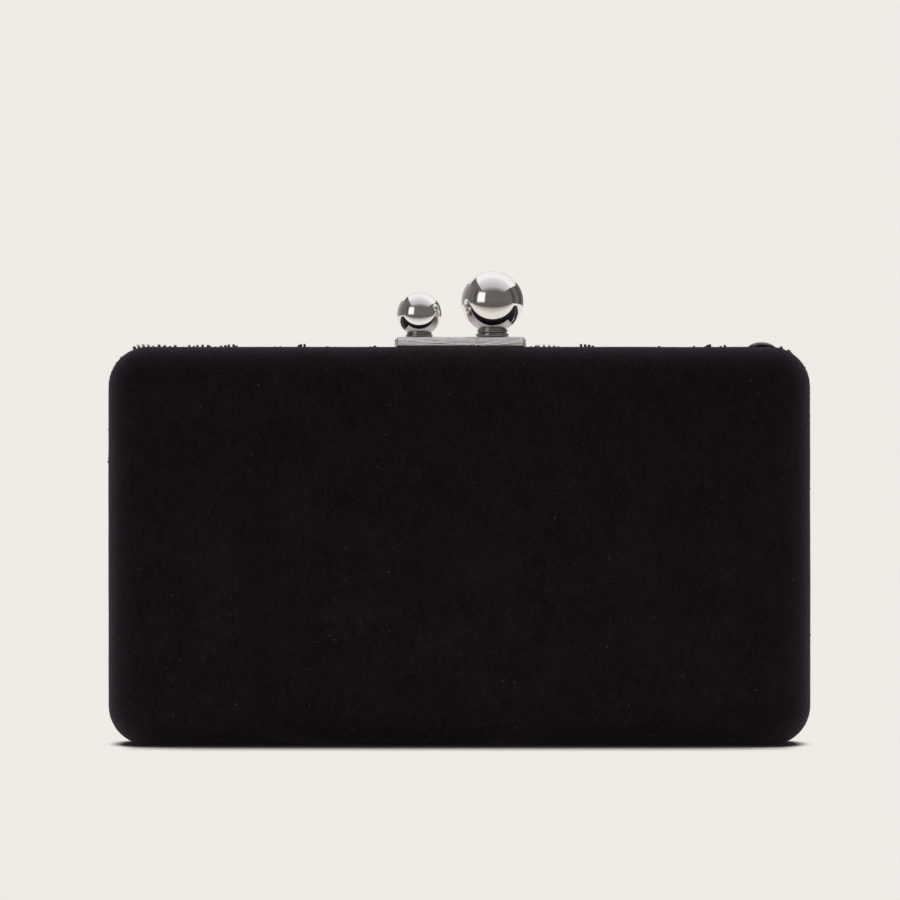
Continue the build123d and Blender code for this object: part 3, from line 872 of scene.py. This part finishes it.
class Embroidery:
    """Beads laid on the front cover, kept from running into each other."""

    def __init__(self, cover):
        mesh = cover.data
        points = [v.co / MM for v in mesh.vertices]
        self.surface = BVHTree.FromPolygons(points, [list(p.vertices) for p in mesh.polygons])
        self.taken = {}
        self.builds = {}

    def on_surface(self, x, z):
        """The surface point and normal for a place given as if the cover were laid flat."""
        z -= MID_HEIGHT
        face_x, face_z = HALF_LENGTH - SHOULDER_RADIUS, HALF_HEIGHT - SHOULDER_RADIUS
        over_x, over_z = max(abs(x) - face_x, 0.0), max(abs(z) - face_z, 0.0)
        over = math.hypot(over_x, over_z)
        y = FRONT_DEPTH
        if over > 0:
            turn = min(over / SHOULDER_RADIUS, math.pi / 2)
            beyond = max(over - SHOULDER_RADIUS * math.pi / 2, 0.0)
            reach = SHOULDER_RADIUS * math.sin(turn) / over
            x = math.copysign(min(abs(x), face_x) + over_x * reach, x)
            z = math.copysign(min(abs(z), face_z) + over_z * reach, z)
            y = FRONT_DEPTH - SHOULDER_RADIUS * (1 - math.cos(turn)) - beyond
        return self.snap(Vector((x, y, z + MID_HEIGHT)))

    def snap(self, near):
        """The cover's nearest point and its normal there."""
        place, normal, _, _ = self.surface.find_nearest(near)
        return place, normal

    def cell(self, place):
        return tuple(math.floor(c / BEAD_CELL) for c in place)

    def is_free(self, place, radius):
        for step in itertools.product((-1, 0, 1), repeat=3):
            key = tuple(a + b for a, b in zip(self.cell(place), step))
            for other, other_radius in self.taken.get(key, ()):
                if (place - other).length < radius + other_radius:
                    return False
        return True

    def take(self, place, radius):
        self.taken.setdefault(self.cell(place), []).append((place.copy(), radius))

    def put(self, kind, shape, place, normal, along, lift, room, must=False):
        """Lays one bead: along is its X direction, lift its height, room the radius kept clear."""
        if not must and not self.is_free(place, room):
            return False
        if over_strike_plate(place, room + 0.3):
            return False
        self.take(place, room)
        x_axis = (along - normal * along.dot(normal)).normalized()
        turn = Matrix((x_axis, normal.cross(x_axis), normal)).transposed()
        centre = place + normal * lift
        build = self.builds.setdefault(kind, Build())
        build.add([centre + turn @ p for p in shape[0]], shape[1])
        return True

    def finish(self):
        """Makes one piece of each kind of bead."""
        looks = {
            "jet": (JET, True),
            "jet_bugles": (JET, False),
            "silver": (SILVER, True),
            "crystal": (SILVER, False),
            "champagne": (CHAMPAGNE, True),
            "champagne_stones": (CHAMPAGNE, False),
            "sequins": (GUNMETAL, True),
        }
        stands = {"jet": ["left_bead_spray", "right_bead_spray"]}
        for kind, build in self.builds.items():
            material, smooth = looks[kind]
            how = {"smooth": smooth, "stands_for": stands.get(kind, ())}
            piece("beading_" + kind, build, material, "front_half", "jet_glass", **how)


SEED = seed_bead(0.72)
SMALL_SEED = seed_bead(0.6)
BUGLE = bugle_bead(0.55, 3.6)
SHORT_BUGLE = bugle_bead(0.5, 2.6)
STONE = cut_stone(1.5, 8)
SMALL_STONE = cut_stone(1.0, 8)
SEQUIN = sequin(1.7)


def blossom(work, x, z, size, rng):
    """A round motif: a stone, a ring of small stones and a skirt of sequins."""
    place, normal = work.on_surface(x, z)
    work.put("crystal", STONE, place, normal, Vector((1, 0, 0)), 0.8, 1.3, must=True)
    spin = rng.random() * FULL_TURN
    for count, reach, kind, shape, lift, room in (
        (8, 2.7, "champagne", SMALL_SEED, 0.5, 0.55),
        (8, 4.3, "champagne_stones", SMALL_STONE, 0.6, 0.9),
        (11, 6.4, "sequins", SEQUIN, 0.25, 1.2),
    ):
        if reach > size:
            break
        for k in range(count):
            turn = spin + math.tau * k / count
            out = Vector((math.cos(turn), 0, math.sin(turn)))
            place, normal = work.on_surface(x + reach * out.x, z + reach * out.z)
            across = Vector((-out.z, 0, out.x))
            work.put(kind, shape, place, normal, across, lift, room)


def leaf(work, x, z, heading, length):
    """A leaf of paired bugles along a rib of seeds."""
    ahead = Vector((math.cos(heading), 0, math.sin(heading)))
    across = Vector((-ahead.z, 0, ahead.x))
    pairs = int(length / 1.9)
    for k in range(pairs):
        t = (k + 0.5) / pairs
        rib = Vector((x, 0, z)) + ahead * (t * length)
        if rib.z > TOP - 4:
            continue
        place, normal = work.on_surface(rib.x, rib.z)
        work.put("silver", SMALL_SEED, place, normal, ahead, 0.5, 0.45)
        spread = 0.55 + 0.45 * math.sin(math.pi * min(t * 1.15, 1.0))
        for side in (-1, 1):
            middle = rib + across * side * (1.0 + 1.15 * spread) + ahead * 1.25
            direction = (ahead * 0.8 + across * side * 0.75).normalized()
            place, normal = work.on_surface(middle.x, middle.z)
            shape = BUGLE if spread > 0.8 else SHORT_BUGLE
            work.put("jet_bugles", shape, place, normal, direction, 0.5, 0.62)


def stem(work, start, bend, end, rng):
    """A curved stem of silver seeds with leaves on alternate sides."""
    start, bend, end = Vector(start), Vector(bend), Vector(end)
    length = (bend - start).length + (end - bend).length
    count = int(length / 1.55)
    side = 1
    for k in range(count):
        t = k / count
        here = start.lerp(bend, t).lerp(bend.lerp(end, t), t)
        slope = (bend - start).lerp(end - bend, t)
        along = Vector((slope.x, 0, slope.y))
        place, normal = work.on_surface(here.x, here.y)
        work.put("silver", SEED, place, normal, along, 0.62, 0.62)
        if k % 6 == 3:
            heading = math.atan2(slope.y, slope.x) + side * rng.uniform(0.7, 0.95)
            size = 10.5 * (1 - 0.45 * t)
            offset = Vector((math.cos(heading), math.sin(heading))) * 1.6
            leaf(work, here.x + offset.x, here.y + offset.y, heading, size)
            side = -side


def scatter_ground(work, rng):
    """Seeds in short curling rows over what is left of the front."""
    for _ in range(1500):
        x = rng.uniform(-HALF_LENGTH - 1, HALF_LENGTH + 1)
        z = rng.uniform(-1, TOP + 1)
        thin = 0.45 + 0.55 * (z / TOP)
        if rng.random() > thin:
            continue
        heading = rng.uniform(0, FULL_TURN)
        curl = rng.uniform(-0.5, 0.5)
        bright = rng.random()
        for _ in range(rng.randint(4, 9)):
            place, normal = work.on_surface(x, z)
            if place.y < RIM + 3.5 or place.z < BEAD_FLOOR:
                break
            along = Vector((math.cos(heading), 0, math.sin(heading)))
            kind = "silver" if bright > 0.93 else "champagne" if bright > 0.88 else "jet"
            work.put(kind, SMALL_SEED, place, normal, along, 0.5, 0.62)
            x += 1.45 * math.cos(heading)
            z += 1.45 * math.sin(heading)
            heading += curl


def edge_beads(work):
    """Beads that wrap over the front's top edge and right end, so they show from behind.

    A bead that stands high has another under it.
    """
    upright = Vector((1, 0, 0))
    for x, kind, shape, lift in (
        (-87.2, "jet", SEED, 1.5),
        (-85.8, "silver", SEED, 1.7),
        (-84.4, "champagne", SEED, 1.5),
        (-83.0, "silver", SEED, 1.3),
        (-81.6, "silver", SEED, 1.0),
        (-80.1, "jet", SEED, 1.1),
        (-78.6, "jet", SEED, 0.9),
        (-77.2, "jet", SMALL_SEED, 0.8),
        (-75.8, "jet", SEED, 0.9),
        (-66.6, "jet", SEED, 0.62),
        (-65.1, "jet", SMALL_SEED, 0.5),
        (-63.6, "jet", SEED, 0.62),
    ):
        place, normal = work.snap(Vector((x, 9.6, TOP + 1)))
        work.put(kind, shape, place, normal, upright, lift, 0.6, must=True)
        if lift > 0.8:
            work.put("jet", SEED, place, normal, upright, 0.5, 0.6, must=True)
    place, normal = work.snap(Vector((80.6, 9.0, TOP + 1)))
    work.put("jet", dome(4.0), place, normal, upright, -0.1, 3.4, must=True)
    for x, kind in ((85.6, "champagne"), (87.1, "silver"), (88.6, "silver")):
        place, normal = work.snap(Vector((x, 9.6, TOP + 1)))
        work.put(kind, SEED, place, normal, upright, 0.62, 0.6, must=True)
    place, normal = work.snap(Vector((90.6, 9.4, TOP + 0.5)))
    work.put("jet_bugles", BUGLE, place, normal, normal.orthogonal(), 0.9, 0.8, must=True)
    for z in (91.2, 92.9):
        place, normal = work.snap(Vector((HALF_LENGTH + 1, 7.6, z)))
        work.put("jet", SEED, place, normal, Vector((0, 0, 1)), 0.62, 0.6, must=True)


def make_beading(cover):
    """The front's embroidery: edge beads, then motifs and stems on both sides, then the ground."""
    rng = random.Random(11)
    work = Embroidery(cover)
    edge_beads(work)
    blossoms = ((80, 12, 7.0), (58, 20, 7.0), (74, 38, 7.0), (34, 13, 5.0), (48, 52, 5.0))
    stems = (
        ((74, 4), (40, -2), (4, 30)),
        ((70, 22), (40, 30), (16, 74)),
        ((84, 22), (80, 60), (46, 92)),
        ((60, 30), (62, 60), (34, 70)),
    )
    for side in (-1, 1):
        for x, down, size in blossoms:
            blossom(work, side * x, TOP - down, size, rng)
        for route in stems:
            stem(work, *((side * x, TOP - down) for x, down in route), rng)
    scatter_ground(work, rng)
    work.finish()


# Studio -----------------------------------------------------
def card(name, corners, material, shown=False):
    """A flat studio card, given by its corners in metres."""
    mesh = bpy.data.meshes.new(name)
    mesh.from_pydata(corners, [], [tuple(range(len(corners)))])
    mesh.materials.append(material)
    made = linked(name, mesh)
    made.visible_camera = shown
    made.visible_shadow = shown
    return made


class Glow(Shader):
    """A light card's material, graded over the card."""

    def __init__(self, name):
        super().__init__(name)
        self.nodes.remove(self.surface)
        self.glow = self.nodes.new("ShaderNodeEmission")
        self.out = self.nodes["Material Output"]
        self.links.new(self.glow.outputs[0], self.out.inputs["Surface"])
        self.axes = self.node("ShaderNodeSeparateXYZ", {"Vector": self.place}).outputs

    def plain(self, tone):
        self.glow.inputs["Color"].default_value = (*tone, 1.0)
        return self.material

    def shade(self, tone):
        self.links.new(tone, self.glow.inputs["Color"])

    def band(self, value, low, high, soft):
        """1 between low and high, falling softly to 0 outside."""
        rise = self.span(value, 0.0, 1.0, low - soft, low + soft)
        fall = self.span(value, 1.0, 0.0, high - soft, high + soft)
        return self.math("MULTIPLY", rise, fall)


def make_floor():
    """A pale glowing tabletop with a painted contact shadow where the clutch stands on it, darker where
    ambient occlusion finds the clutch close by.

    The opened front half reaches below the tabletop, so the strip under it swings away with it, painted
    shadow and all.
    """
    g = Glow("pale_floor_painted_shadow")
    near = g.nodes.new("ShaderNodeAmbientOcclusion")
    near.inputs["Distance"].default_value = 0.030
    near.samples = 16
    # Painted contact shadow: the floor's glow runs down to near black where the clutch stands close over
    # it.
    tones = [
        (0.32, (0.0145, 0.0110, 0.0145)),
        (0.50, (0.040, 0.033, 0.036)),
        (0.84, BACKGROUND),
    ]
    # The painted shadow fades out beyond the clutch's ends.
    shadow_end_fade = g.span(g.math("ABSOLUTE", g.axes["X"], 0.0), 0.0, 0.5, 0.0850, 0.1000)
    painted_shadow_clearance = g.math("ADD", near.outputs["AO"], shadow_end_fade)
    g.shade(g.stops(painted_shadow_clearance, tones))
    reach = 40.0
    strips = [("floor_near", -reach, FLAP_START), ("floor_flap", FLAP_START, LID_SWEEP)]
    strips.append(("floor_far", LID_SWEEP, reach))
    for name, near_y, far_y in strips:
        corners = [(-reach, near_y, 0), (reach, near_y, 0), (reach, far_y, 0), (-reach, far_y, 0)]
        made = card(name, corners, g.material, shown=True)
        if name == "floor_flap":
            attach(made, "front_half")


def far_floor():
    """The tabletop's far part, which fades into the dim room."""
    g = Glow("far_floor")
    g.plain((0.132, 0.120, 0.113))
    clear = g.nodes.new("ShaderNodeBsdfTransparent")
    mixed = g.nodes.new("ShaderNodeMixShader")
    g.links.new(g.span(g.axes["Y"], 1.0, 0.0, -0.31, -0.115), mixed.inputs["Fac"])
    g.links.new(clear.outputs[0], mixed.inputs[1])
    g.links.new(g.glow.outputs[0], mixed.inputs[2])
    g.links.new(mixed.outputs[0], g.out.inputs["Surface"])
    return g.material


def overhead_diffuser():
    """Brightest over and behind the clutch, fading to the wall's tone towards the front."""
    g = Glow("overhead_diffuser")
    tones = [(0.0, WALL_TONE), (0.06, 0.19), (0.166, 0.36), (0.233, 0.56)]
    tones += [(0.31, 0.62), (0.43, 0.76), (0.567, 1.02), (1.0, 0.92)]
    g.shade(g.stops(g.span(g.axes["Y"], 0.0, 1.0, -1.40, 1.60), tones))
    return g.material


def window_light(across):
    """A bright pane with soft edges. across is its reach in X, in metres."""
    g = Glow("window_light")
    wide = g.band(g.axes["X"], across[0] + 0.07, across[1] - 0.03, 0.05)
    tall = g.band(g.axes["Z"], 0.06, 1.06, 0.12)
    g.shade(g.ramp(g.math("MULTIPLY", wide, tall), WALL_TONE, (1.12, 1.10, 1.08)))
    return g.material


def upright(name, start, end, low, high, material):
    """A wall card from start to end in plan."""
    corners = [(*start, low), (*end, low), (*end, high), (*start, high)]
    return card(name, corners, material)


def make_room():
    """The dim room in front of the table, the overhead diffuser and a window at the left.

    The cards light the clutch and show in its polish, but the camera doesn't see them.
    """
    wall = Glow("dim_wall").plain(WALL_TONE)
    shadow = Glow("dark_stand").plain((0.085, 0.074, 0.074))
    side = Glow("side_wall")
    tones = [(0.0, WALL_TONE), (0.2, (0.22, 0.19, 0.17)), (0.5, (0.42, 0.38, 0.36)), (1.0, 0.5)]
    side.shade(side.stops(side.span(side.axes["Y"], 0.0, 1.0, 0.0, 4.0), tones))
    left, right, front, back = -1.6, 1.6, -1.6, 5.0
    low, high = -0.5, 1.45
    upright("room_front", (left, front), (right, front), low, high, wall)
    upright("room_left", (left, front), (left, back), low, high, side.material)
    upright("room_right", (right, front), (right, back), low, high, wall)
    upright("stand_left", (-1.5, -0.72), (-1.5, -0.42), low, high, shadow)
    upright("stand_right", (1.5, -0.30), (1.5, 0.10), low, high, shadow)
    upright("stand_back", (1.5, 0.75), (1.5, 1.5), low, high, shadow)
    ceiling = [(left, front, high), (right, front, high), (right, 1.5, high), (left, 1.5, high)]
    card("room_ceiling", ceiling, wall)
    floor = [(left, front, 0.002), (right, front, 0.002), (right, -0.1, 0.002), (left, -0.1, 0.002)]
    card("room_floor", floor, far_floor())
    h = 1.2
    diffuser = [(-1.06, -1.40, h), (1.30, -1.40, h), (1.55, 1.60, h), (-0.62, 1.60, h)]
    card("diffuser", diffuser, overhead_diffuser())
    across = (-1.38, -0.70)
    upright("window", (-1.38, -0.78), (-0.70, -1.40), -0.06, 1.18, window_light(across))


def make_clasp_light(receivers):
    """A soft light that reaches only the clasp's bars, whose flat faces mirror the dim room."""
    lit = bpy.data.collections.new("lit_by_clasp_light")
    for made in receivers:
        lit.objects.link(made)
    light = linked("clasp_light", bpy.data.lights.new("clasp_light", "AREA"))
    light.location = (0.05, -1.0, 0.28)
    light.rotation_euler = (math.radians(80), 0, 0)
    light.data.size = 0.7
    light.data.energy = 1.5
    light.data.color = (1.0, 0.96, 0.97)
    light.visible_camera = False
    light.light_linking.receiver_collection = lit


def make_camera():
    """Straight on to the plain back, from a little over a metre."""
    px = 0.2633 * MM
    distance, near_plane = 1.3, -0.0085
    camera = linked("camera", bpy.data.cameras.new("camera"))
    camera.location = (-9.4 * px, near_plane - distance, 295.5 * px)
    camera.rotation_euler = (math.pi / 2, 0, 0)
    camera.data.sensor_width = 36.0
    camera.data.lens = 36.0 * distance / (900 * px)
    camera.data.clip_end = 200.0
    bpy.context.scene.camera = camera


def make_world():
    """Light of the background's tone from all round."""
    world = bpy.data.worlds.new("pale_surround")
    world.use_nodes = True
    world.node_tree.nodes["Background"].inputs["Color"].default_value = (*BACKGROUND, 1.0)
    bpy.context.scene.world = world
    bpy.context.scene.view_settings.view_transform = "Standard"


# Putting it together ----------------------------------------
dress_cad_nodes()
back_cover = make_cover(-1)
front_cover = make_cover(1)
make_nap(back_cover, -1, 6500, 3)
make_nap(front_cover, 1, 3000, 4)
thicken(back_cover, 0.8)
thicken(front_cover, 0.8)
make_lining(-1)
make_lining(1)
make_pocket()
make_gusset(-1)
make_gusset(1)
cap = make_cap()
make_spring()
make_ball("large", "back_half")
make_ball("small", "latch")
make_beading(front_cover)
make_floor()
make_room()
make_world()
make_clasp_light([cap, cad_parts["strike_bar"]])
make_camera()
